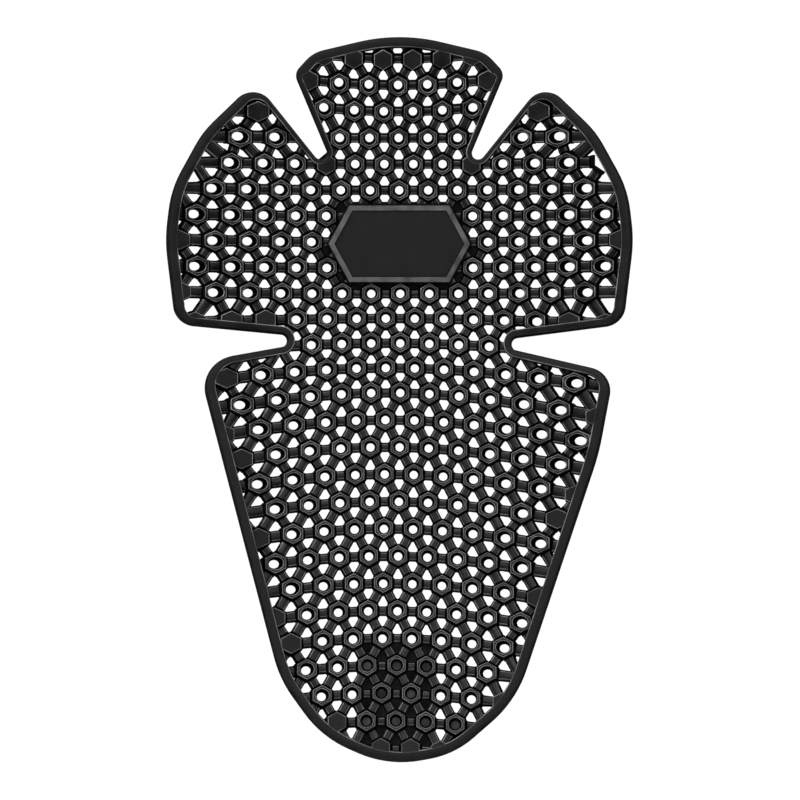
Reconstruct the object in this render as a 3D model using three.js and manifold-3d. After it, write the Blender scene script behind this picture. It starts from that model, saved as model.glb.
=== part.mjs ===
// Knee and shin pad: one soft moulding, hollow side up, resting on its outer side.
// X runs across the leg, +Y towards the thigh, +Z up. Millimetres.
import * as THREE from 'three';
import { mergeVertices } from 'three/addons/utils/BufferGeometryUtils.js';
import Module from 'manifold-3d';

// Overall size of the outline
const padLength = 285;
const padWidth = 184;
const halfLength = padLength / 2;
const halfWidth = padWidth / 2;

// Bowl of the outer side. It lies on a flat patch below the knee, and bends up from there
// at even radii: sideways into the wings, and lengthways into the thigh and shin parts.
const patchHalfWidth = 12;
const patchFront = 24;
const patchBack = -4;
const wingRadius = 270;
const thighRadius = 465;
const shinRadius = 830;

// Thicknesses, all measured from the outer side
const rimHeight = 9.3;
const columnHeight = 9;
const webHeight = 6.2;
const webBack = 0.8;
const windowFloor = 2.2;

// Rim band round the whole edge
const rimWidth = 4;
const rimLean = 0.5;
const notchRadius = 2.5;

// Net of six-sided columns
const columnPitch = 17.2;
const columnAcross = 10;
const boreMouth = 7;
const boreEnd = 5.4;
const solidMargin = 8;

// How the net lies on the pad. It starts as equal triangles round its middle, which is at
// the row under the plate. Rows are spaced by a factor above that row, below it and on the
// shin, where they lean and sag like arcs. In the thigh lobe they bend the other way.
const netMiddleX = 0.35;
const netMiddleY = 42.2;
const thighSpacing = 1.03;
const kneeSpacing = 0.99;
const shinSpacing = 1.085;
const shinRowsStart = 40;
const thighRowsStart = 55;
const thighLobeReach = 45;
const shinRowRadius = 275;
const thighRowRadius = 200;
const shinRowLean = 0.018;
const shinDrift = 0.014;
const thighDrift = 0.011;
const kneeWidening = 250;
const shinWidening = 175;
const thighWidening = 175;

// Badge plate: a six-sided frame round a bare, sunk panel
const plateLength = 55.8;
const plateFlat = 39.4;
const plateWidth = 30.2;
const plateCentreY = 62;
const plateRise = 1.5;
const plateDraft = 1.6;
const plateFrame = 2;
const plateSink = 0.8;
const plateRoot = 3;

// Closed patch at the toe, where no bore goes through
const toePatchWidth = 32;
const toePatchTop = -95;
const toePatchX = -1.5;

// Corners of the outline, going round from the middle of the thigh edge. x and y are
// shares of half the width and half the length, round is the corner's radius as a
// share of half the width. A notch has the notch radius instead, and its value is the
// share of the rim's width that the band keeps along it.
const kneeCorners = [
  { x: 0.37, y: 0.958, round: 0.15 },
  { x: 0.452, y: 0.901, round: 0.05 },
  { x: 0.241, y: 0.58, notch: 0.56 },
  { x: 0.619, y: 0.877, round: 0.094 },
  { x: 0.842, y: 0.737, round: 0.43 },
  { x: 0.976, y: 0.579, round: 0.47 },
  { x: 1.003, y: 0.439, round: 0.64 },
  { x: 0.96, y: 0.206, round: 0.094 },
];
const thighMiddle = { x: 0, y: 1.014, round: 0.79 };
const shinCorners = [
  { x: 0.357, y: 0.16, notch: 0.75 },
  { x: 0.92, y: 0.073, round: 0.103 },
  { x: 0.855, y: -0.151, round: 1.07 },
  { x: 0.5, y: -0.83, round: 0.51 },
  { x: 0.235, y: -0.978, round: 0.39 },
  { x: -0.048, y: -1.01, round: 0.6 },
  { x: -0.332, y: -0.931, round: 0.47 },
  { x: -0.512, y: -0.772, round: 0.51 },
  { x: -0.87, y: 0.103, round: 0.141 },
  { x: -0.311, y: 0.17, notch: 0.75 },
];
const outlineCorners = [
  thighMiddle,
  ...kneeCorners,
  ...shinCorners,
  ...kneeCorners.toReversed().map((corner) => ({ ...corner, x: -corner.x })),
];

// Fineness of the mesh
const arcStep = Math.PI / 9;
const arcChord = 15;
const arcShare = 0.49;
const slopeStep = 0.01;
const hexSides = 6;
const prismReach = 60;

// Rows and columns that cover the whole outline
const rowSpacing = columnPitch * Math.cos(Math.PI / hexSides);
const firstRow = -Math.ceil((halfLength - netMiddleY) / (rowSpacing * thighSpacing));
const lastRow = Math.ceil((halfLength + netMiddleY) / (rowSpacing * kneeSpacing));
const furthestHalfStep = 2 * Math.ceil(halfWidth / columnPitch);

const wasm = await Module();
wasm.setup();

// Rise of a part that bends up at a radius, at a distance beyond the flat patch
function bentRise(distance, radius) {
  return Math.max(0, distance) ** 2 / (2 * radius);
}

// Height of the outer side over its flat patch
function outerSide(x, y) {
  const wings = bentRise(Math.abs(x) - patchHalfWidth, wingRadius);
  const thigh = bentRise(y - patchFront, thighRadius);
  const shin = bentRise(patchBack - y, shinRadius);
  return wings + thigh + shin;
}

// Slope of the outer side along x and y
function outerSlope(x, y) {
  const across = (outerSide(x + slopeStep, y) - outerSide(x - slopeStep, y)) / (2 * slopeStep);
  const along = (outerSide(x, y + slopeStep) - outerSide(x, y - slopeStep)) / (2 * slopeStep);
  return new THREE.Vector2(across, along);
}

// Point at a height over the outer side; lean is how far it follows the surface normal.
// The back of the web lies at z = 0 on the flat patch.
function shellPoint(x, y, height, lean = 1) {
  const slope = outerSlope(x, y);
  const stretch = lean / Math.sqrt(1 + slope.lengthSq());
  const side = height * stretch;
  const rise = lean === 1 ? side : height;
  return new THREE.Vector3(
    x - slope.x * side,
    y - slope.y * side,
    outerSide(x, y) - webBack + rise,
  );
}

// Outline moved inwards by a distance, as a list of points with arcs at its corners. It
// moves less along a notch.
function outlinePoints(inset) {
  const corners = outlineCorners.map((corner) => ({
    point: new THREE.Vector2(corner.x * halfWidth, corner.y * halfLength),
    radius: corner.notch ? notchRadius : corner.round * halfWidth,
    band: corner.notch ?? 1,
  }));
  const points = [];
  corners.forEach((corner, index) => {
    const cornerBefore = corners.at(index - 1);
    const cornerAfter = corners[(index + 1) % corners.length];
    const before = cornerBefore.point;
    const after = cornerAfter.point;
    const bandBefore = Math.min(corner.band, cornerBefore.band);
    const bandAfter = Math.min(corner.band, cornerAfter.band);
    const inwards = corner.point.clone().sub(before).normalize();
    const outwards = after.clone().sub(corner.point).normalize();
    const turn = Math.atan2(inwards.cross(outwards), inwards.dot(outwards));
    const reach = Math.tan(Math.abs(turn) / 2);
    const shorter = Math.min(corner.point.distanceTo(before), corner.point.distanceTo(after));
    const radius = Math.min(corner.radius, (arcShare * shorter) / reach);
    const start = corner.point.clone().addScaledVector(inwards, -radius * reach);
    const side = Math.sign(turn);
    const square = new THREE.Vector2(-inwards.y, inwards.x);
    const centre = start.clone().addScaledVector(square, side * radius);
    const startAngle = Math.atan2(start.y - centre.y, start.x - centre.x);
    const arcLength = radius * Math.abs(turn);
    const steps = Math.ceil(Math.max(Math.abs(turn) / arcStep, arcLength / arcChord));
    for (let step = 0; step <= steps; step += 1) {
      const angle = startAngle + (turn * step) / steps;
      const direction = new THREE.Vector2(Math.cos(angle), Math.sin(angle));
      const moved = inset * THREE.MathUtils.lerp(bandBefore, bandAfter, step / steps);
      points.push(centre.clone().addScaledVector(direction, radius + side * moved));
    }
  });
  return points;
}

// Distance from a point to the outline, positive inside it
function insideDistance(x, y, outline) {
  let nearest = Infinity;
  let inside = false;
  outline.forEach((end, index) => {
    const start = outline.at(index - 1);
    const edge = end.clone().sub(start);
    const offset = new THREE.Vector2(x, y).sub(start);
    const share = THREE.MathUtils.clamp(offset.dot(edge) / edge.lengthSq(), 0, 1);
    nearest = Math.min(nearest, offset.distanceTo(edge.clone().multiplyScalar(share)));
    const crosses = (start.y > y) !== (end.y > y);
    if (crosses && x < start.x + (edge.x * (y - start.y)) / edge.y) {
      inside = !inside;
    }
  });
  return inside ? nearest : -nearest;
}

// Collects the corners and triangles of one closed surface
class Surface {
  constructor() {
    this.positions = [];
    this.triangles = [];
  }

  corner(point) {
    this.positions.push(point.x, point.y, point.z);
    return this.positions.length / 3 - 1;
  }

  triangle(a, b, c) {
    if (a !== b && b !== c && c !== a) {
      this.triangles.push(a, b, c);
    }
  }

  quad(a, b, c, d) {
    this.triangle(a, b, c);
    this.triangle(a, c, d);
  }

  fan(ring) {
    for (let index = 1; index < ring.length - 1; index += 1) {
      this.triangle(ring[0], ring[index], ring[index + 1]);
    }
  }

  // Walls between two rings of corners that run anticlockwise, seen from the first one's side
  band(first, second) {
    first.forEach((corner, index) => {
      const next = (index + 1) % first.length;
      this.quad(corner, first[next], second[next], second[index]);
    });
  }

  solid() {
    return new wasm.Manifold(new wasm.Mesh({
      numProp: 3,
      vertProperties: new Float32Array(this.positions),
      triVerts: new Uint32Array(this.triangles),
    }));
  }
}

// Place of a column on the outer side, and how much the net is stretched across there
function columnPlace(row, halfStep) {
  const across = (columnPitch * halfStep) / 2;
  const down = rowSpacing * row;
  const onShin = Math.max(0, down - shinRowsStart);
  const onThigh = Math.max(0, -down);
  const shinShare = THREE.MathUtils.clamp(down / shinRowsStart, 0, 1);
  const upperWidening = onThigh > thighRowsStart ? thighWidening : kneeWidening;
  const widening = (across / THREE.MathUtils.lerp(upperWidening, shinWidening, shinShare)) ** 2;
  const sag = shinShare * (across ** 2 / (2 * shinRowRadius) + shinRowLean * across);
  const inThighLobe = onThigh > thighRowsStart && Math.abs(across) < thighLobeReach;
  const lift = inThighLobe ? across ** 2 / (2 * thighRowRadius) : 0;
  const rows = kneeSpacing * (down + onThigh - onShin) + shinSpacing * onShin - thighSpacing * onThigh;
  return {
    x: netMiddleX - shinDrift * onShin - thighDrift * onThigh + across * (1 + widening),
    y: netMiddleY - rows - sag + lift,
    stretch: 1 + 3 * widening,
  };
}

// True where the plate covers the net
function underPlate(x, y) {
  const up = Math.abs(y - plateCentreY);
  const along = Math.abs(x);
  const slant = (plateLength - plateFlat) / plateWidth;
  const reach = plateLength / 2 + plateDraft - slant * up;
  return up < plateWidth / 2 && along < reach + plateDraft;
}

// True where the toe patch closes the bores
function onToePatch(x, y) {
  return Math.abs(x - toePatchX) < toePatchWidth / 2 && y < toePatchTop;
}

// All columns of the net with what each one is: raised, bored, or only a point of the web
function layOutColumns(outline) {
  const columns = new Map();
  for (let row = firstRow; row <= lastRow; row += 1) {
    for (let halfStep = -furthestHalfStep; halfStep <= furthestHalfStep; halfStep += 1) {
      if ((halfStep + row) % 2 === 0) {
        const place = columnPlace(row, halfStep);
        const depth = insideDistance(place.x, place.y, outline);
        const raised = depth > 0 && !underPlate(place.x, place.y);
        const bored = raised && depth > solidMargin && !onToePatch(place.x, place.y);
        columns.set(`${row},${halfStep}`, { row, halfStep, ...place, raised, bored });
      }
    }
  }
  return columns;
}

// Six corners round a column at one height; across is its width over the flats
function hexRing(surface, column, across, height) {
  const ring = [];
  for (let side = 0; side < hexSides; side += 1) {
    const angle = Math.PI / hexSides + (side * 2 * Math.PI) / hexSides;
    const radius = across / 2 / Math.cos(Math.PI / hexSides);
    ring.push(surface.corner(shellPoint(
      column.x + radius * column.stretch * Math.cos(angle),
      column.y + radius * Math.sin(angle),
      height,
    )));
  }
  return ring;
}

// One point in a column's middle that stands for all six corners
function middleRing(surface, column, height) {
  const corner = surface.corner(shellPoint(column.x, column.y, height));
  return new Array(hexSides).fill(corner);
}

// A column's own faces: its sides, its top, its bore and its foot
function addColumn(surface, column) {
  if (!column.raised) {
    column.web = middleRing(surface, column, webHeight);
    column.back = middleRing(surface, column, webBack);
    return;
  }
  column.web = hexRing(surface, column, columnAcross, webHeight);
  column.floor = hexRing(surface, column, columnAcross, windowFloor);
  const top = hexRing(surface, column, columnAcross, columnHeight);
  surface.band(column.web, top);
  if (!column.bored) {
    surface.fan(top);
    column.back = middleRing(surface, column, webBack);
    return;
  }
  const mouth = hexRing(surface, column, boreMouth, columnHeight);
  const end = hexRing(surface, column, boreEnd, webBack);
  column.back = hexRing(surface, column, columnAcross, webBack);
  surface.band(top, mouth);
  surface.band(mouth, end);
  surface.band(end, column.back);
}

// Steps from a column to its six neighbours, anticlockwise from the one on the right
const neighbourSteps = [
  { row: 0, halfStep: 2 },
  { row: -1, halfStep: 1 },
  { row: -1, halfStep: -1 },
  { row: 0, halfStep: -2 },
  { row: 1, halfStep: -1 },
  { row: 1, halfStep: 1 },
];

// The net: columns, the webs between each two of them and each three of them
function netSolid(outline) {
  const columns = layOutColumns(outline);
  const surface = new Surface();
  const neighbour = (column, side) => {
    const step = neighbourSteps.at(side % hexSides);
    return columns.get(`${column.row + step.row},${column.halfStep + step.halfStep}`);
  };
  const at = (ring, side) => ring[(side + hexSides) % hexSides];
  columns.forEach((column) => addColumn(surface, column));
  columns.forEach((column) => {
    for (let side = 0; side < hexSides; side += 1) {
      const next = neighbour(column, side);
      const left = neighbour(column, side + 1);
      const right = neighbour(column, side - 1);
      if (!next) {
        surface.quad(
          at(column.web, side - 1),
          at(column.back, side - 1),
          at(column.back, side),
          at(column.web, side),
        );
        continue;
      }
      if (!left) {
        surface.quad(
          at(column.web, side),
          at(next.web, side + 2),
          at(next.back, side + 2),
          at(column.back, side),
        );
      }
      if (side < hexSides / 2) {
        surface.quad(
          at(column.web, side - 1),
          at(next.web, side + 3),
          at(next.web, side + 2),
          at(column.web, side),
        );
        surface.quad(
          at(column.back, side),
          at(next.back, side + 2),
          at(next.back, side + 3),
          at(column.back, side - 1),
        );
      }
      if (side === 0 && left) {
        addCell(surface, [{ ...column, corner: 0 }, { ...next, corner: 2 }, { ...left, corner: 4 }]);
      }
      if (side === 0 && right) {
        addCell(surface, [{ ...column, corner: 5 }, { ...right, corner: 1 }, { ...next, corner: 3 }]);
      }
    }
  });
  return surface.solid();
}

// The three-sided space between three columns: a window closed by a thin floor at the
// outer side, or plain web where a column is missing
function addCell(surface, columns) {
  const corners = (level) => columns.map((column) => column[level][column.corner]);
  surface.fan(corners('back').toReversed());
  if (columns.every((column) => column.raised)) {
    surface.band(corners('web'), corners('floor'));
    surface.fan(corners('floor'));
  } else {
    surface.fan(corners('web'));
  }
}

// Everything inside the middle of the rim band, as an upright prism
function rimMiddlePrism() {
  const shape = new THREE.Shape(outlinePoints(rimWidth / 2).toReversed());
  const geometry = new THREE.ExtrudeGeometry(shape, { depth: 2 * prismReach, bevelEnabled: false });
  geometry.translate(0, 0, -prismReach);
  geometry.deleteAttribute('normal');
  geometry.deleteAttribute('uv');
  const merged = mergeVertices(geometry);
  const surface = new Surface();
  surface.positions = Array.from(merged.attributes.position.array);
  surface.triangles = Array.from(merged.index.array);
  return surface.solid();
}

// Rim band: a four-cornered section carried round the outline
function rimSolid() {
  const surface = new Surface();
  const ring = (inset, height) => outlinePoints(inset).toReversed().map(
    (point) => surface.corner(shellPoint(point.x, point.y, height, rimLean)),
  );
  const outerBack = ring(0, 0);
  const outerTop = ring(0, rimHeight);
  const innerTop = ring(rimWidth, rimHeight);
  const innerBack = ring(rimWidth, 0);
  surface.band(outerBack, outerTop);
  surface.band(outerTop, innerTop);
  surface.band(innerTop, innerBack);
  surface.band(innerBack, outerBack);
  return surface.solid();
}

// Plate: a tapered six-sided block whose panel is sunk inside a frame
function plateSolid() {
  const surface = new Surface();
  const slope = outerSlope(0, plateCentreY);
  const normal = new THREE.Vector3(-slope.x, -slope.y, 1).normalize();
  const foot = shellPoint(0, plateCentreY, 0);
  const turn = new THREE.Quaternion().setFromUnitVectors(new THREE.Vector3(0, 0, 1), normal);
  const slant = Math.atan2(plateLength - plateFlat, plateWidth);
  const ring = (grow, height) => {
    const tip = plateLength / 2 + grow / Math.cos(slant);
    const flat = plateFlat / 2 + (grow * (1 - Math.sin(slant))) / Math.cos(slant);
    const side = plateWidth / 2 + grow;
    const corners = [[tip, 0], [flat, side], [-flat, side], [-tip, 0], [-flat, -side], [flat, -side]];
    return corners.map(([x, y]) => surface.corner(
      new THREE.Vector3(x, y, height).applyQuaternion(turn).add(foot),
    ));
  };
  const top = columnHeight + plateRise;
  const footRing = ring(plateDraft, plateRoot);
  const topRing = ring(0, top);
  const panelEdge = ring(-plateFrame, top);
  const panel = ring(-plateFrame, top - plateSink);
  surface.fan(footRing.toReversed());
  surface.band(footRing, topRing);
  surface.band(topRing, panelEdge);
  surface.band(panelEdge, panel);
  surface.fan(panel);
  return surface.solid();
}

// A named mesh of a solid
function namedMesh(name, solid, material) {
  const { vertProperties, triVerts } = solid.getMesh();
  const geometry = new THREE.BufferGeometry();
  geometry.setAttribute('position', new THREE.BufferAttribute(vertProperties, 3));
  geometry.setIndex(new THREE.BufferAttribute(triVerts, 1));
  geometry.computeVertexNormals();
  const mesh = new THREE.Mesh(geometry, material);
  mesh.name = name;
  return mesh;
}

const outline = outlinePoints(0);
const moulding = netSolid(outline)
  .intersect(rimMiddlePrism())
  .add(rimSolid())
  .add(plateSolid());

const blackRubber = new THREE.MeshStandardMaterial({
  color: 0x1c1c1e,
  roughness: 0.62,
  metalness: 0,
});

const kneePad = new THREE.Group();
kneePad.add(namedMesh('pad_moulding', moulding, blackRubber));

export default kneePad;
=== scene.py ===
# Knee and shin pad: the looks of one soft moulding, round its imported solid.
# Metres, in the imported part's frame: X across the leg, +Y towards the thigh, +Z up.
import math

import bpy
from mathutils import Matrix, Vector


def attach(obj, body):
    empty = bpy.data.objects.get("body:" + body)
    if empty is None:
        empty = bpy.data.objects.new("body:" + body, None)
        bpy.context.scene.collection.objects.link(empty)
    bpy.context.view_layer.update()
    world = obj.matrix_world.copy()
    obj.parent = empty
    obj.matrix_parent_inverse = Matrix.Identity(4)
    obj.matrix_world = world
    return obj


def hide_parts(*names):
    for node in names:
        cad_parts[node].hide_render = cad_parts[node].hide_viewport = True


NODE = "pad_moulding"

# Overall size of the outline
HALF_LENGTH = 0.1425
HALF_WIDTH = 0.092

# Bowl of the outer side, as in the solid: a flat patch that it lies on, then even bends
PATCH_HALF_WIDTH = 0.012
PATCH_FRONT = 0.024
PATCH_BACK = -0.004
WING_RADIUS = 0.27
THIGH_RADIUS = 0.465
SHIN_RADIUS = 0.83
SLOPE_STEP = 0.00001

# Thicknesses, all measured from the outer side
RIM_HEIGHT = 0.0093
COLUMN_HEIGHT = 0.009
RIB_HEIGHT = 0.0062
WEB_BACK = 0.0008
TOE_FLOOR = 0.0042
BLIND_FLOOR = 0.0048

# Rim band. The middle of its round lies a share of the radius from each side.
RIM_WIDTH = 0.004
RIM_LEAN = 0.5
RIM_ROUND = 0.0006
ROUND_MIDDLE = 0.3
RIM_EDGE = 0.0003
RIM_DRAFT = 0.0003
NOTCH_RADIUS = 0.0025

# Net of columns and ribs
COLUMN_PITCH = 0.0115
COLUMN_ACROSS = 0.0069
COLUMN_DRAFT = 0.0015
COLUMN_ROUND = 0.0003
BORE_MOUTH = 0.0052
BORE_END = 0.0033
EDGE_CHAMFER = 0.0002
LUMP_RECESS = 0.00008
RIB_TOP = 0.0019
RIB_SHOULDER = 0.00345
RIB_CHAMFER = 0.0006
RIB_FOOT = 0.00375
RIB_GROWTH = 0.4
RIB_LINE = 0.00018
RIB_LINE_DROP = 0.00006
RIB_DIP = 0.0011
RIB_SHELF = 0.0009
RIB_SHELF_WIDENING = 0.0003
RIB_GAP = 0.0002
RIB_BITE = 0.0004

# A column is solid where it stands less than this deep inside the nearest stretch of
# edge, and so are the ones in the tips of the wings
SOLID_MARGIN = 0.00725
NOTCH_MARGIN = 0.0053
THIGH_END_MARGIN = 0.0085

# No column stands less than this deep. The limit differs beside a notch and at the toe,
# and along the upper edges of the wings it is the solid margin above.
LUMP_MARGIN = 0.001
NOTCH_LUMP_MARGIN = 0
TOE_LUMP_MARGIN = -0.002
WING_EDGE_INNER = 0.0585
WING_EDGE_BOTTOM = 0.068
WING_EDGE_TOP = 0.11

# How the net lies on the pad, much as in the solid: equal triangles round its middle,
# then rows spaced by a factor, leaning and sagging on the shin, bent up in the thigh
# lobe. Columns stand further apart towards the sides, more so where a widening is small.
NET_MIDDLE_X = 0.00035
NET_MIDDLE_Y = 0.0422
THIGH_SPACING = 1.03
KNEE_SPACING = 0.99
SHIN_SPACING = 1.085
SHIN_ROWS_START = 0.04
THIGH_ROWS_START = 0.055
THIGH_LIFT_START = 0.065
THIGH_LOBE_REACH = 0.045
SHIN_ROW_RADIUS = 0.275
THIGH_ROW_RADIUS = 0.28
SHIN_ROW_LEAN = 0.018
SHIN_DRIFT = 0.014
THIGH_DRIFT = 0.011
KNEE_WIDENING = 0.25
SHIN_WIDENING = 0.175
THIGH_WIDENING = 0.175

# Badge plate
PLATE_LENGTH = 0.0558
PLATE_FLAT = 0.0394
PLATE_WIDTH = 0.0302
PLATE_CENTRE_Y = 0.062
PLATE_RISE = 0.0015
PLATE_DRAFT = 0.0016
PLATE_FRAME = 0.002
PLATE_SINK = 0.0008
PLATE_ROOT = 0.003
PLATE_WEB_DROP = 0.0035
PLATE_WEB_HALF = 0.0205
PLATE_WEB_HEIGHT = 0.0045

# Closed patch at the toe
TOE_PATCH_WIDTH = 0.031
TOE_PATCH_TOP = -0.097
TOE_PATCH_X = -0.002
TOE_LAST_ROW = -0.12

# Corners of the outline, going round from the middle of the thigh edge. x and y are
# shares of half the width and half the length, round is the corner's radius as a share
# of half the width. A notch has the notch radius, and its band is narrower.
THIGH_MIDDLE = {"x": 0, "y": 1.014, "round": 0.79}
KNEE_CORNERS = [
    {"x": 0.37, "y": 0.958, "round": 0.15},
    {"x": 0.452, "y": 0.901, "round": 0.05},
    {"x": 0.241, "y": 0.58, "notch": 0.56},
    {"x": 0.619, "y": 0.877, "round": 0.094},
    {"x": 0.842, "y": 0.737, "round": 0.43},
    {"x": 0.976, "y": 0.579, "round": 0.47},
    {"x": 1.003, "y": 0.439, "round": 0.64},
    {"x": 0.96, "y": 0.206, "round": 0.094},
]
SHIN_CORNERS = [
    {"x": 0.357, "y": 0.16, "notch": 0.75},
    {"x": 0.92, "y": 0.073, "round": 0.103},
    {"x": 0.855, "y": -0.151, "round": 1.07},
    {"x": 0.5, "y": -0.83, "round": 0.51},
    {"x": 0.235, "y": -0.978, "round": 0.39},
    {"x": -0.048, "y": -1.01, "round": 0.6},
    {"x": -0.332, "y": -0.931, "round": 0.47},
    {"x": -0.512, "y": -0.772, "round": 0.51},
    {"x": -0.87, "y": 0.103, "round": 0.141},
    {"x": -0.311, "y": 0.17, "notch": 0.75},
]

# Fineness of the meshes, and of the tests along an edge and a rib
ARC_STEP = math.radians(6)
ARC_CHORD = 0.003
ARC_SHARE = 0.49
HEX_SIDES = 6
SHARP_ANGLE = math.radians(30)
SMALLEST_SQUARE = 1e-18
RIB_SAMPLES = 40

# Rows and columns that cover the whole outline
ROW_SPACING = COLUMN_PITCH * math.cos(math.pi / HEX_SIDES)
FIRST_ROW = -math.ceil((HALF_LENGTH - NET_MIDDLE_Y) / (ROW_SPACING * THIGH_SPACING))
LAST_ROW = math.ceil((HALF_LENGTH + NET_MIDDLE_Y) / (ROW_SPACING * KNEE_SPACING))
FURTHEST_HALF_STEP = 2 * math.ceil(HALF_WIDTH / COLUMN_PITCH)

# Finishes of a piece's faces: its plain faces, its edges lightened as a painted highlight, and
# walls darkened and dulled as a painted shade
FACE = 0
EDGE_HIGHLIGHT = 1
DULL_SHADE = 2

# Texture of the rubber: clouds that change its tone and gloss, and a fine grain
CLOUD_SCALE = 160
CLOUD_DETAIL = 4
TONE_LOW = 0.35
TONE_HIGH = 0.7
DARK_SHARE = 0.5
LIGHT_SHARE = 1.8
GLOSS_LOW = 0.3
GLOSS_HIGH = 0.7
SMOOTHER = 0.1
ROUGHER = 0.15
GRAIN_SCALE = 2600
GRAIN_DETAIL = 3
GRAIN_DEPTH = 0.0001

# Camera and studio, with the sensor in millimetres
SENSOR = 36
VIEW_WIDTH = 0.3175
CAMERA_DISTANCE = 1.18
CAMERA_TILT = 0.037
CAMERA_X = 0.00024
CLIP_START = 0.01
CLIP_END = 20
FLOOR_SIZE = 8
FLOOR_TONE = 0.06
WORLD_STRENGTH = 0.03


# Shape of the bowl


def bent_rise(distance, radius):
    """Rise of a part that bends up at a radius, at a distance beyond the flat patch."""
    return max(0.0, distance) ** 2 / (2 * radius)


def outer_side(x, y):
    """Height of the outer side over its flat patch."""
    wings = bent_rise(abs(x) - PATCH_HALF_WIDTH, WING_RADIUS)
    thigh = bent_rise(y - PATCH_FRONT, THIGH_RADIUS)
    shin = bent_rise(PATCH_BACK - y, SHIN_RADIUS)
    return wings + thigh + shin


def outer_slope(x, y):
    """Slope of the outer side along x and y."""
    double = 2 * SLOPE_STEP
    across = (outer_side(x + SLOPE_STEP, y) - outer_side(x - SLOPE_STEP, y)) / double
    along = (outer_side(x, y + SLOPE_STEP) - outer_side(x, y - SLOPE_STEP)) / double
    return across, along


def shell_point(x, y, height, lean=1.0):
    """Point at a height over the outer side; lean is how far it follows the normal."""
    across, along = outer_slope(x, y)
    side = height * lean / math.sqrt(1 + across**2 + along**2)
    rise = side if lean == 1.0 else height
    z = outer_side(x, y) - WEB_BACK + rise
    return (x - across * side, y - along * side, z)


# Outline


def mirrored(corners):
    """The same corners on the other side, in the order that goes round."""
    return [{**corner, "x": -corner["x"]} for corner in reversed(corners)]


OUTLINE_CORNERS = [THIGH_MIDDLE, *KNEE_CORNERS, *SHIN_CORNERS, *mirrored(KNEE_CORNERS)]


def band_share(corner, after):
    """Share of the rim's width on the straight between two corners."""
    return min(corner.get("notch", 1), after.get("notch", 1))


def outline_points(inset, fixed_inset=0.0):
    """Outline moved inwards by a distance that shrinks at the notches and a fixed one."""
    count = len(OUTLINE_CORNERS)
    places = [Vector((c["x"] * HALF_WIDTH, c["y"] * HALF_LENGTH)) for c in OUTLINE_CORNERS]
    points = []
    for index, corner in enumerate(OUTLINE_CORNERS):
        before = OUTLINE_CORNERS[index - 1]
        after = OUTLINE_CORNERS[(index + 1) % count]
        place = places[index]
        to_before = places[index - 1] - place
        to_after = places[(index + 1) % count] - place
        inwards = -to_before.normalized()
        outwards = to_after.normalized()
        cross = inwards.x * outwards.y - inwards.y * outwards.x
        turn = math.atan2(cross, inwards.dot(outwards))
        reach = math.tan(abs(turn) / 2)
        shorter = min(to_before.length, to_after.length)
        wanted = NOTCH_RADIUS if "notch" in corner else corner["round"] * HALF_WIDTH
        radius = min(wanted, ARC_SHARE * shorter / reach)
        side = math.copysign(1, turn)
        start = place - inwards * radius * reach
        centre = start + Vector((-inwards.y, inwards.x)) * side * radius
        start_angle = math.atan2(start.y - centre.y, start.x - centre.x)
        steps = math.ceil(max(abs(turn) / ARC_STEP, radius * abs(turn) / ARC_CHORD))
        first_share = band_share(before, corner)
        last_share = band_share(corner, after)
        for step in range(steps + 1):
            part = step / steps
            angle = start_angle + turn * part
            share = first_share + (last_share - first_share) * part
            move = radius + side * (inset * share + fixed_inset)
            points.append(centre + Vector((math.cos(angle), math.sin(angle))) * move)
    return points


class Outline:
    """Answers how far a point lies inside the outline, and where the rim is nearest."""

    def __init__(self, points):
        self.edges = [(points[i - 1], points[i]) for i in range(len(points))]

    def nearest(self, x, y):
        """Nearest point on the line, and the distance to it."""
        place = Vector((x, y))
        best = None
        for start, end in self.edges:
            edge = end - start
            along = (place - start).dot(edge) / max(edge.length_squared, SMALLEST_SQUARE)
            point = start + edge * min(1.0, max(0.0, along))
            distance = (place - point).length
            if best is None or distance < best[1]:
                best = (point, distance)
        return best

    def inside(self, x, y):
        """True inside the line."""
        result = False
        for start, end in self.edges:
            if (start.y > y) != (end.y > y):
                if x < start.x + (end.x - start.x) * (y - start.y) / (end.y - start.y):
                    result = not result
        return result

    def depth(self, x, y):
        """Distance to the line, positive inside it."""
        distance = self.nearest(x, y)[1]
        return distance if self.inside(x, y) else -distance

    def held(self, x, y):
        """The point itself, or the nearest one on the line when it lies outside."""
        if self.inside(x, y):
            return x, y
        point = self.nearest(x, y)[0]
        return point.x, point.y


# Meshes


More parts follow.
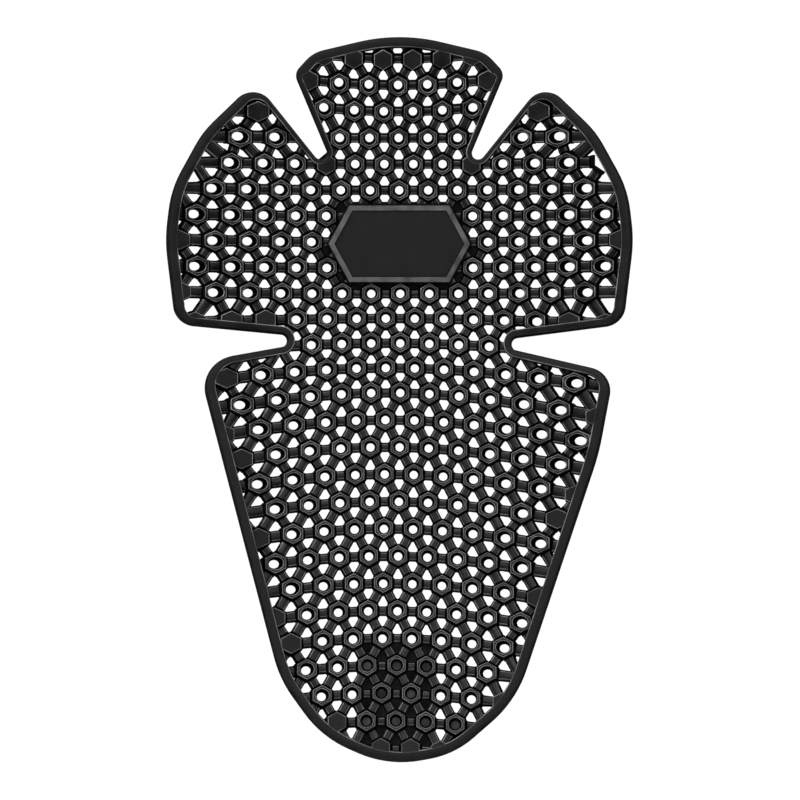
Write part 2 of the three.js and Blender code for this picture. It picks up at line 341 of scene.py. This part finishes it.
class Surface:
    """Collects the corners and faces of closed shapes and makes one piece of them."""

    def __init__(self):
        self.corners = []
        self.faces = []
        self.finishes = []

    def ring(self, points):
        """Adds a ring of points and returns their numbers."""
        first = len(self.corners)
        self.corners.extend(points)
        return list(range(first, len(self.corners)))

    def band(self, lower, upper, finishes):
        """Faces between two rings that run anticlockwise seen from above."""
        count = len(lower)
        for index in range(count):
            after = (index + 1) % count
            self.faces.append((lower[index], lower[after], upper[after], upper[index]))
            self.finishes.append(finishes[index])

    def cap(self, ring, finish=FACE):
        """One face over a ring that runs anticlockwise seen from outside."""
        self.faces.append(tuple(ring))
        self.finishes.append(finish)

    def closed(self, rings, finishes):
        """A solid through rings from its foot to its top, with a finish for each band."""
        self.cap(rings[0][::-1])
        for lower, upper, finish in zip(rings, rings[1:], finishes):
            self.band(lower, upper, [finish] * len(lower))
        self.cap(rings[-1])

    def looped(self, rings, finishes):
        """A solid whose last ring joins its first one, such as a tube."""
        for lower, upper, finish in zip(rings, rings[1:] + rings[:1], finishes):
            self.band(lower, upper, [finish] * len(lower))

    def make_piece(self, name, materials):
        """Makes the finished object, which rides on the part's one body."""
        mesh = bpy.data.meshes.new(name)
        mesh.from_pydata(self.corners, [], self.faces)
        for material in materials:
            mesh.materials.append(material)
        mesh.polygons.foreach_set("material_index", self.finishes)
        mesh.validate()
        mesh.shade_smooth()
        mesh.set_sharp_from_angle(angle=SHARP_ANGLE)
        piece = bpy.data.objects.new(name, mesh)
        bpy.context.scene.collection.objects.link(piece)
        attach(piece, "root")
        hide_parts(NODE)


# Places of the net


def net_place(row, half_step):
    """Place of a column on the outer side, and how much the net is stretched there."""
    across = COLUMN_PITCH * half_step / 2
    down = ROW_SPACING * row
    on_shin = max(0.0, down - SHIN_ROWS_START)
    on_thigh = max(0.0, -down)
    shin_share = min(1.0, max(0.0, down / SHIN_ROWS_START))
    upper = THIGH_WIDENING if on_thigh > THIGH_ROWS_START else KNEE_WIDENING
    reach = upper + (SHIN_WIDENING - upper) * shin_share
    widening = (across / reach) ** 2
    sag = shin_share * (across**2 / (2 * SHIN_ROW_RADIUS) + SHIN_ROW_LEAN * across)
    is_lifted = on_thigh > THIGH_LIFT_START and abs(across) < THIGH_LOBE_REACH
    lift = across**2 / (2 * THIGH_ROW_RADIUS) if is_lifted else 0.0
    rows = KNEE_SPACING * (down + on_thigh - on_shin)
    rows += SHIN_SPACING * on_shin - THIGH_SPACING * on_thigh
    x = NET_MIDDLE_X - SHIN_DRIFT * on_shin - THIGH_DRIFT * on_thigh
    # x holds a cube of the distance across, so its slope holds three times the widening
    return {
        "x": x + across * (1 + widening),
        "y": NET_MIDDLE_Y - rows - sag + lift,
        "stretch": 1 + 3 * widening,
    }


def under_plate(x, y):
    """True where the plate covers the net."""
    up = abs(y - PLATE_CENTRE_Y)
    slant = (PLATE_LENGTH - PLATE_FLAT) / PLATE_WIDTH
    reach = PLATE_LENGTH / 2 + 2 * PLATE_DRAFT - slant * up
    return up < PLATE_WIDTH / 2 and abs(x) < reach


def on_toe_patch(x, y):
    """True where the toe patch closes the bores and windows."""
    return abs(x - TOE_PATCH_X) < TOE_PATCH_WIDTH / 2 and y < TOE_PATCH_TOP


def nearest_stretch(x, y):
    """The two outline corners whose straight comes nearest to a point."""
    place = Vector((x, y))
    best = None
    for index, corner in enumerate(OUTLINE_CORNERS):
        before = OUTLINE_CORNERS[index - 1]
        start = Vector((before["x"] * HALF_WIDTH, before["y"] * HALF_LENGTH))
        edge = Vector((corner["x"] * HALF_WIDTH, corner["y"] * HALF_LENGTH)) - start
        along = min(1.0, max(0.0, (place - start).dot(edge) / edge.length_squared))
        distance = (place - start - edge * along).length
        if best is None or distance < best[0]:
            best = (distance, (before, corner))
    return best[1]


def solid_margin(x, y):
    """How deep a column has to stand to be bored, by the stretch of edge next to it."""
    stretch = nearest_stretch(x, y)
    if any("notch" in corner for corner in stretch):
        return NOTCH_MARGIN
    return THIGH_END_MARGIN if THIGH_MIDDLE in stretch else SOLID_MARGIN


def bare_margin(x, y):
    """How deep inside the edge a place has to lie for a column to stand there at all."""
    if WING_EDGE_BOTTOM < y < WING_EDGE_TOP and abs(x) > WING_EDGE_INNER:
        return SOLID_MARGIN
    if any("notch" in corner for corner in nearest_stretch(x, y)):
        return NOTCH_LUMP_MARGIN
    return TOE_LUMP_MARGIN if y < TOE_LAST_ROW else LUMP_MARGIN


def kind_of_place(x, y, depth):
    """What stands at a place of the net."""
    if depth < bare_margin(x, y):
        return "outside"
    if under_plate(x, y):
        return "plate"
    on_wing_tip = y > WING_EDGE_TOP and abs(x) > THIGH_LOBE_REACH
    if on_wing_tip or depth < solid_margin(x, y):
        return "lump"
    return "blind" if on_toe_patch(x, y) or y < TOE_LAST_ROW else "bored"


def lay_out_net(outline):
    """All places of the net's columns, with what stands at each one."""
    places = {}
    for row in range(FIRST_ROW, LAST_ROW + 1):
        for half_step in range(-FURTHEST_HALF_STEP, FURTHEST_HALF_STEP + 1):
            if (half_step + row) % 2 == 0:
                place = net_place(row, half_step)
                depth = outline.depth(place["x"], place["y"])
                place["kind"] = kind_of_place(place["x"], place["y"], depth)
                places[row, half_step] = place
    return places


# Steps in row and half step to the six neighbours of a place, anticlockwise from the
# right, and the pairs of neighbours that bound the two cells to its right
NEIGHBOUR_STEPS = [(0, 2), (-1, 1), (-1, -1), (0, -2), (1, -1), (1, 1)]
CELL_SIDES = [(0, 1), (5, 0)]


# Columns


def hexagon(across, roundness):
    """Offsets round a hexagon with round corners, corner up."""
    flat = across / 2
    half_turn = math.pi / HEX_SIDES
    reach = (flat - roundness) / math.cos(half_turn)
    points = []
    for side in range(HEX_SIDES):
        corner = math.pi / 2 + 2 * half_turn * side
        for turned in (corner - half_turn, corner, corner + half_turn):
            dx = reach * math.cos(corner) + roundness * math.cos(turned)
            dy = reach * math.sin(corner) + roundness * math.sin(turned)
            points.append((dx, dy))
        middle = corner + half_turn
        points.append((flat * math.cos(middle), flat * math.sin(middle)))
    return points


def hex_ring(place, across, height, line=None):
    """Points round a column on its hexagon, held inside a line where one is given."""
    points = []
    for dx, dy in hexagon(across, COLUMN_ROUND):
        x = place["x"] + dx * place["stretch"]
        y = place["y"] + dy
        if line is not None:
            x, y = line.held(x, y)
        points.append(shell_point(x, y, height))
    return points


def round_ring(place, across, height):
    """Points round a column on its bore."""
    points = []
    for dx, dy in UNIT_CIRCLE:
        x = place["x"] + dx * across / 2 * place["stretch"]
        points.append(shell_point(x, place["y"] + dy * across / 2, height))
    return points


def unit_circle():
    """Points of a circle of radius 1, in the directions of the hexagon's points."""
    points = []
    for dx, dy in hexagon(2, 2 * COLUMN_ROUND / COLUMN_ACROSS):
        length = math.hypot(dx, dy)
        points.append((dx / length, dy / length))
    return points


UNIT_CIRCLE = unit_circle()


def add_column(surface, place, blind):
    """A hexagonal column with a tapered bore, open at its far end or closed."""
    top = COLUMN_HEIGHT
    shoulder = top - EDGE_CHAMFER
    # The top's chamfers take the painted edge highlight; the outer wall and the bore take the
    # painted shade
    lines = [
        hex_ring(place, COLUMN_ACROSS + COLUMN_DRAFT, WEB_BACK),
        hex_ring(place, COLUMN_ACROSS, shoulder),
        hex_ring(place, COLUMN_ACROSS - 2 * EDGE_CHAMFER, top),
        round_ring(place, BORE_MOUTH + 2 * EDGE_CHAMFER, top),
        round_ring(place, BORE_MOUTH, shoulder),
    ]
    if blind:
        lines.append(round_ring(place, BORE_END, BLIND_FLOOR))
        rings = [surface.ring(points) for points in lines]
        surface.closed(rings, [DULL_SHADE, EDGE_HIGHLIGHT, FACE, EDGE_HIGHLIGHT, DULL_SHADE])
        return
    lines.append(round_ring(place, BORE_END, WEB_BACK + EDGE_CHAMFER))
    lines.append(round_ring(place, BORE_END + 2 * EDGE_CHAMFER, WEB_BACK))
    rings = [surface.ring(points) for points in lines]
    surface.looped(rings, [DULL_SHADE, EDGE_HIGHLIGHT, FACE, EDGE_HIGHLIGHT, DULL_SHADE, DULL_SHADE, FACE])


def make_columns(places, materials):
    """All bored and blind columns."""
    surface = Surface()
    for place in places.values():
        if place["kind"] in ("bored", "blind"):
            add_column(surface, place, place["kind"] == "blind")
    surface.make_piece("columns", materials)


def make_solid_columns(places, middle_line, materials):
    """Solid columns that stand at the rim or grow out of it, almost flush with its top."""
    surface = Surface()
    top = RIM_HEIGHT - LUMP_RECESS
    levels = [
        (COLUMN_ACROSS + COLUMN_DRAFT, WEB_BACK),
        (COLUMN_ACROSS, top - EDGE_CHAMFER),
        (COLUMN_ACROSS - 2 * EDGE_CHAMFER, top),
    ]
    for place in places.values():
        if place["kind"] == "lump":
            rings = []
            for across, height in levels:
                points = hex_ring(place, across, height, middle_line)
                rings.append(surface.ring(points))
            # Wall in the painted shade, top chamfer in the painted edge highlight
            surface.closed(rings, [DULL_SHADE, EDGE_HIGHLIGHT])
    surface.make_piece("solid_columns", materials)


# Ribs


def rib_section():
    """Offsets across and heights of a rib's section, anticlockwise from its foot."""
    foot = RIB_FOOT / 2
    shoulder = RIB_SHOULDER / 2
    line = RIB_TOP / 2 + RIB_LINE
    top = RIB_TOP / 2
    low = RIB_HEIGHT - RIB_CHAMFER
    return [
        (-foot, WEB_BACK),
        (foot, WEB_BACK),
        (shoulder, low),
        (line, RIB_HEIGHT - RIB_LINE_DROP),
        (top, RIB_HEIGHT),
        (-top, RIB_HEIGHT),
        (-line, RIB_HEIGHT - RIB_LINE_DROP),
        (-shoulder, low),
    ]


RIB_SECTION = rib_section()
# A rib's side walls, ends and low shelves beside the columns take the painted shade; the fine
# lines beside its top take the painted edge highlight
RIB_FINISHES = [FACE, DULL_SHADE, FACE, EDGE_HIGHLIGHT, FACE, EDGE_HIGHLIGHT, FACE, DULL_SHADE]
SHELF_FINISHES = [FACE, *[DULL_SHADE] * (len(RIB_SECTION) - 1)]


def column_reach(place, direction):
    """Distance from a column's middle to its flat, in a direction."""
    flat = COLUMN_ACROSS / 2
    return flat * math.hypot(direction.x * place["stretch"], direction.y)


def leaving_share(first, last, middle_line):
    """Share of the way from one place to another where it first leaves the pad."""
    for step in range(RIB_SAMPLES + 1):
        share = step / RIB_SAMPLES
        x = first["x"] + (last["x"] - first["x"]) * share
        y = first["y"] + (last["y"] - first["y"]) * share
        if not middle_line.inside(x, y):
            return share
    return None


def rib_end(reach):
    """Stations from a column's flat to the full rib: a low, wider shelf and a step up."""
    return [
        (reach - RIB_BITE, RIB_DIP, RIB_SHELF_WIDENING),
        (reach + RIB_SHELF, RIB_DIP, RIB_SHELF_WIDENING),
        (reach + RIB_SHELF + RIB_GAP, 0.0, 0.0),
    ]


def rib_stations(length, first_reach, last_reach):
    """Places along a rib, how far its top dips there and how much wider each half is."""
    stations = rib_end(first_reach)
    if last_reach is None:
        kept = [station for station in stations if station[0] < length]
        return [*kept, (length, *kept[-1][1:])]
    for along, dip, widening in reversed(rib_end(last_reach)):
        stations.append((length - along, dip, widening))
    return stations


def add_rib(surface, first, last, share, middle_line):
    """One rib between two places of the net, cut off inside the rim at a share."""
    start = Vector((first["x"], first["y"]))
    run = Vector((last["x"], last["y"])) - start
    direction = run.normalized()
    square = Vector((-direction.y, direction.x))
    first_reach = column_reach(first, direction)
    last_reach = column_reach(last, direction) if share is None else None
    length = run.length * (1 if share is None else share)
    growth = RIB_GROWTH * (run.length - COLUMN_PITCH) / 2
    if length < first_reach:
        return
    stations = rib_stations(length, first_reach, last_reach)
    rings = []
    for along, dip, widening in stations:
        points = []
        for across, height in RIB_SECTION:
            wider = across + math.copysign(widening + growth, across)
            spot = start + direction * along - square * wider
            x, y = middle_line.held(spot.x, spot.y)
            lowered = height - dip if height > WEB_BACK else height
            points.append(shell_point(x, y, lowered))
        rings.append(surface.ring(points))
    surface.cap(rings[0][::-1], DULL_SHADE)
    for index in range(1, len(rings)):
        on_shelf = stations[index - 1][1] > 0 or stations[index][1] > 0
        finishes = SHELF_FINISHES if on_shelf else RIB_FINISHES
        surface.band(rings[index - 1], rings[index], finishes)
    surface.cap(rings[-1], DULL_SHADE)


def make_ribs(places, middle_line, materials):
    """Ribs between all neighbours, each made once, and stubs from a column to the rim."""
    surface = Surface()
    for (row, half_step), place in places.items():
        if place["kind"] in ("outside", "plate"):
            continue
        for side, (row_step, half) in enumerate(NEIGHBOUR_STEPS):
            other = places.get((row + row_step, half_step + half))
            if other is None:
                continue
            share = leaving_share(place, other, middle_line)
            if share is None and side >= HEX_SIDES / 2 and other["kind"] != "plate":
                continue
            add_rib(surface, place, other, share, middle_line)
    surface.make_piece("ribs", materials)


# Rim


def rim_section():
    """Inset as a share of the band, fixed inset and height, round the band's section."""
    top = RIM_HEIGHT
    return [
        (0, 0, 0),
        (0, RIM_DRAFT, top - RIM_ROUND),
        (0, RIM_DRAFT + RIM_ROUND * ROUND_MIDDLE, top - RIM_ROUND * ROUND_MIDDLE),
        (0, RIM_DRAFT + RIM_ROUND, top),
        (1, -RIM_EDGE, top),
        (1, 0, top - RIM_EDGE),
        (1, RIM_DRAFT, 0),
    ]


def make_rim(materials):
    """The band round the whole edge."""
    surface = Surface()
    rings = []
    for share, fixed, height in rim_section():
        line = outline_points(share * RIM_WIDTH, fixed)
        points = [shell_point(p.x, p.y, height, RIM_LEAN) for p in reversed(line)]
        rings.append(surface.ring(points))
    # The inner chamfer takes the painted edge highlight, the inner wall the painted shade
    surface.looped(rings, [FACE, FACE, FACE, FACE, EDGE_HIGHLIGHT, DULL_SHADE, FACE])
    surface.make_piece("rim_band", materials)


# Plate


def plate_axes():
    """The plate's foot point, its two directions and its normal."""
    across, along = outer_slope(0, PLATE_CENTRE_Y)
    normal = Vector((-across, -along, 1)).normalized()
    x_axis = Vector((1, 0, 0))
    y_axis = normal.cross(x_axis)
    foot = Vector(shell_point(0, PLATE_CENTRE_Y, 0))
    return foot, x_axis, y_axis, normal


def plate_ring(grow, height):
    """Six corners of the plate, grown by a distance, at a height."""
    foot, x_axis, y_axis, normal = plate_axes()
    slant = math.atan2(PLATE_LENGTH - PLATE_FLAT, PLATE_WIDTH)
    tip = PLATE_LENGTH / 2 + grow / math.cos(slant)
    flat = PLATE_FLAT / 2 + grow * (1 - math.sin(slant)) / math.cos(slant)
    side = PLATE_WIDTH / 2 + grow
    corners = [(tip, 0), (flat, side), (-flat, side), (-tip, 0), (-flat, -side), (flat, -side)]
    return [tuple(foot + x_axis * x + y_axis * y + normal * height) for x, y in corners]


def make_plate(materials):
    """Frame and sunk panel, left bare."""
    surface = Surface()
    top = COLUMN_HEIGHT + PLATE_RISE
    levels = [
        (PLATE_DRAFT, PLATE_ROOT),
        (0, top - EDGE_CHAMFER),
        (-EDGE_CHAMFER, top),
        (-PLATE_FRAME, top),
        (-PLATE_FRAME - EDGE_CHAMFER, top - PLATE_SINK),
    ]
    rings = [surface.ring(plate_ring(grow, height)) for grow, height in levels]
    # The frame and its chamfer take the painted sheen; the side walls and the step into the
    # panel take the painted shade
    surface.closed(rings, [DULL_SHADE, EDGE_HIGHLIGHT, EDGE_HIGHLIGHT, DULL_SHADE])
    surface.make_piece("badge_plate", materials)


# Closed cells


def cell_points(keys, places, middle_line):
    """Names and places of the points round the cell between three places of the net."""
    points = []
    for index, key in enumerate(keys):
        place = places[key]
        if place["kind"] not in ("bored", "blind"):
            points.append((key, *middle_line.held(place["x"], place["y"])))
            continue
        for other_key in (keys[index - 1], keys[(index + 1) % len(keys)]):
            other = places[other_key]
            run = Vector((other["x"] - place["x"], other["y"] - place["y"]))
            direction = run.normalized()
            reach = column_reach(place, direction) - RIB_BITE
            x = place["x"] + direction.x * reach
            y = place["y"] + direction.y * reach
            points.append(((key, other_key), *middle_line.held(x, y)))
    return points


def make_closed_cells(name, places, middle_line, is_closed, top, materials):
    """A floor that closes the windows of the cells whose middle passes a test."""
    surface = Surface()
    numbers = {}

    def corner(point, height):
        """Number of a named point at a height, added to the surface on its first use."""
        label = (point[0], height)
        if label not in numbers:
            numbers[label] = surface.ring([shell_point(point[1], point[2], height)])[0]
        return numbers[label]

    edges = {}
    for row, half_step in places:
        for sides in CELL_SIDES:
            keys = [(row, half_step)]
            for side in sides:
                row_step, half = NEIGHBOUR_STEPS[side]
                keys.append((row + row_step, half_step + half))
            if not all(key in places for key in keys):
                continue
            x = sum(places[key]["x"] for key in keys) / len(keys)
            y = sum(places[key]["y"] for key in keys) / len(keys)
            if not middle_line.inside(x, y) or not is_closed(x, y):
                continue
            points = cell_points(keys, places, middle_line)
            surface.cap([corner(point, top) for point in points])
            surface.cap([corner(point, WEB_BACK) for point in points[::-1]])
            for index, point in enumerate(points):
                after = points[(index + 1) % len(points)]
                edges[point[0], after[0]] = (point, after)
    for (start_name, end_name), (start, end) in edges.items():
        if (end_name, start_name) not in edges:
            low = [corner(start, WEB_BACK), corner(end, WEB_BACK)]
            high = [corner(end, top), corner(start, top)]
            surface.cap(low + high)
    surface.make_piece(name, materials)


def on_plate_web(x, y):
    """True where the plate, or the web below its lower edge, closes the windows."""
    below = PLATE_CENTRE_Y - PLATE_WIDTH / 2 - PLATE_WEB_DROP < y < PLATE_CENTRE_Y
    return under_plate(x, y) or (below and abs(x) < PLATE_WEB_HALF)


# Materials


def grey(tone):
    """A grey colour."""
    return (tone, tone, tone, 1)


def rubber(name, tone, roughness, grain, specular=0.5):
    """Moulded rubber of a grey tone, with clouds of tone and gloss and a fine grain."""
    material = bpy.data.materials.new(name)
    material.use_nodes = True
    nodes = material.node_tree.nodes
    links = material.node_tree.links
    shader = nodes["Principled BSDF"]
    shader.inputs["Specular IOR Level"].default_value = specular
    place = nodes.new("ShaderNodeTexCoord")

    cloud = nodes.new("ShaderNodeTexNoise")
    cloud.inputs["Scale"].default_value = CLOUD_SCALE
    cloud.inputs["Detail"].default_value = CLOUD_DETAIL
    links.new(place.outputs["Object"], cloud.inputs["Vector"])
    tint = nodes.new("ShaderNodeValToRGB")
    tint.color_ramp.elements[0].position = TONE_LOW
    tint.color_ramp.elements[0].color = grey(DARK_SHARE * tone)
    tint.color_ramp.elements[1].position = TONE_HIGH
    tint.color_ramp.elements[1].color = grey(LIGHT_SHARE * tone)
    links.new(cloud.outputs["Fac"], tint.inputs["Fac"])
    links.new(tint.outputs["Color"], shader.inputs["Base Color"])

    gloss = nodes.new("ShaderNodeMapRange")
    gloss.inputs["From Min"].default_value = GLOSS_LOW
    gloss.inputs["From Max"].default_value = GLOSS_HIGH
    gloss.inputs["To Min"].default_value = roughness - SMOOTHER
    gloss.inputs["To Max"].default_value = roughness + ROUGHER
    links.new(cloud.outputs["Fac"], gloss.inputs["Value"])
    links.new(gloss.outputs["Result"], shader.inputs["Roughness"])

    speckle = nodes.new("ShaderNodeTexNoise")
    speckle.inputs["Scale"].default_value = GRAIN_SCALE
    speckle.inputs["Detail"].default_value = GRAIN_DETAIL
    links.new(place.outputs["Object"], speckle.inputs["Vector"])
    bump = nodes.new("ShaderNodeBump")
    bump.inputs["Strength"].default_value = grain
    bump.inputs["Distance"].default_value = GRAIN_DEPTH
    links.new(speckle.outputs["Fac"], bump.inputs["Height"])
    links.new(bump.outputs["Normal"], shader.inputs["Normal"])
    return material


def floor_material():
    """Floor that is white to the camera, and dark to every other ray of light."""
    material = bpy.data.materials.new("pale_floor")
    material.use_nodes = True
    nodes = material.node_tree.nodes
    links = material.node_tree.links
    shader = nodes["Principled BSDF"]
    shader.inputs["Base Color"].default_value = grey(FLOOR_TONE)
    shader.inputs["Roughness"].default_value = 1.0
    shader.inputs["Specular IOR Level"].default_value = 0.0
    shader.inputs["Emission Color"].default_value = grey(1)
    ray = nodes.new("ShaderNodeLightPath")
    links.new(ray.outputs["Is Camera Ray"], shader.inputs["Emission Strength"])
    return material


# Studio


def add_floor():
    """Plain pale floor that the pad lies on."""
    half = FLOOR_SIZE / 2
    mesh = bpy.data.meshes.new("floor")
    corners = [(-half, -half, 0), (half, -half, 0), (half, half, 0), (-half, half, 0)]
    mesh.from_pydata(corners, [], [(0, 1, 2, 3)])
    mesh.materials.append(floor_material())
    floor = bpy.data.objects.new("floor", mesh)
    bpy.context.scene.collection.objects.link(floor)


def add_softbox(name, place, size, power):
    """A square area light that faces the pad."""
    light = bpy.data.lights.new(name, "AREA")
    light.shape = "SQUARE"
    light.size = size
    light.energy = power
    softbox = bpy.data.objects.new(name, light)
    softbox.location = place
    direction = Vector((0, 0, 0)) - Vector(place)
    softbox.rotation_euler = direction.to_track_quat("-Z", "Y").to_euler()
    bpy.context.scene.collection.objects.link(softbox)


def add_lights():
    """Strong light from the upper left, weaker light from above and the other sides."""
    add_softbox("key", place=(-1.1, 1.0, 0.9), size=0.7, power=30)
    add_softbox("overhead", place=(0.0, 0.5, 1.8), size=0.9, power=9)
    add_softbox("right", place=(1.3, 0.3, 0.8), size=0.7, power=14)
    add_softbox("front", place=(-0.3, -1.3, 0.8), size=0.7, power=12)
    world = bpy.data.worlds.new("studio")
    world.use_nodes = True
    background = world.node_tree.nodes["Background"]
    background.inputs["Color"].default_value = grey(1)
    background.inputs["Strength"].default_value = WORLD_STRENGTH
    bpy.context.scene.world = world
    bpy.context.scene.view_settings.view_transform = "Standard"


def add_camera():
    """Camera that looks almost straight down into the bowl."""
    away = Vector((0, -math.sin(CAMERA_TILT), math.cos(CAMERA_TILT)))
    camera = bpy.data.cameras.new("camera")
    camera.sensor_width = SENSOR
    camera.lens = SENSOR * CAMERA_DISTANCE / VIEW_WIDTH
    camera.clip_start = CLIP_START
    camera.clip_end = CLIP_END
    holder = bpy.data.objects.new("camera", camera)
    holder.location = away * CAMERA_DISTANCE + Vector((CAMERA_X, 0, 0))
    holder.rotation_euler = (-away).to_track_quat("-Z", "Y").to_euler()
    bpy.context.scene.collection.objects.link(holder)
    bpy.context.scene.camera = holder


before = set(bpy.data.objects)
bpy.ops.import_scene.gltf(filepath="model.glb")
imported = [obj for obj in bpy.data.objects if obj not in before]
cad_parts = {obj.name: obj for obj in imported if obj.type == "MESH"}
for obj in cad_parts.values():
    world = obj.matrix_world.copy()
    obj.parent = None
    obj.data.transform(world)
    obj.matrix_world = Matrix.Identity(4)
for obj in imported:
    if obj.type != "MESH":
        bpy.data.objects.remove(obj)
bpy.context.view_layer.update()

outer_line = Outline(outline_points(0))
rim_middle = Outline(outline_points(RIM_WIDTH / 2))
net = lay_out_net(outer_line)

satin = rubber("satin_rubber", tone=0.002, roughness=0.36, grain=0.25, specular=0.3)
grained = rubber("grained_rubber", tone=0.0015, roughness=0.45, grain=0.45, specular=0.24)
shaded = rubber("shaded_rubber", tone=0.0015, roughness=0.5, grain=0.45, specular=0.12)
# Lighter tone on chamfers and on the fine lines beside the rib tops: a painted edge highlight
painted_highlight = rubber("painted_edge_highlight", tone=0.15, roughness=0.4, grain=0.05)
# Lighter tone on the plate's frame and chamfers: a painted sheen
plate_sheen = rubber("painted_sheen_rubber", tone=0.05, roughness=0.36, grain=0.08)
# Darker tone with little gloss on walls, bores, shelves and rib ends: a painted shade
shade_wall = rubber("dull_painted_shade_wall", tone=0.001, roughness=0.85, grain=0.2, specular=0.1)

make_columns(net, [satin, painted_highlight, shade_wall])
make_solid_columns(net, rim_middle, [grained, painted_highlight, shade_wall])
make_ribs(net, rim_middle, [satin, painted_highlight, shade_wall])
make_rim([grained, painted_highlight, shade_wall])
make_plate([grained, plate_sheen, shade_wall])
webs = [shaded, painted_highlight, shade_wall]
make_closed_cells("plate_web", net, rim_middle, on_plate_web, PLATE_WEB_HEIGHT, webs)
make_closed_cells("toe_floor", net, rim_middle, on_toe_patch, TOE_FLOOR, webs)

add_floor()
add_lights()
add_camera()
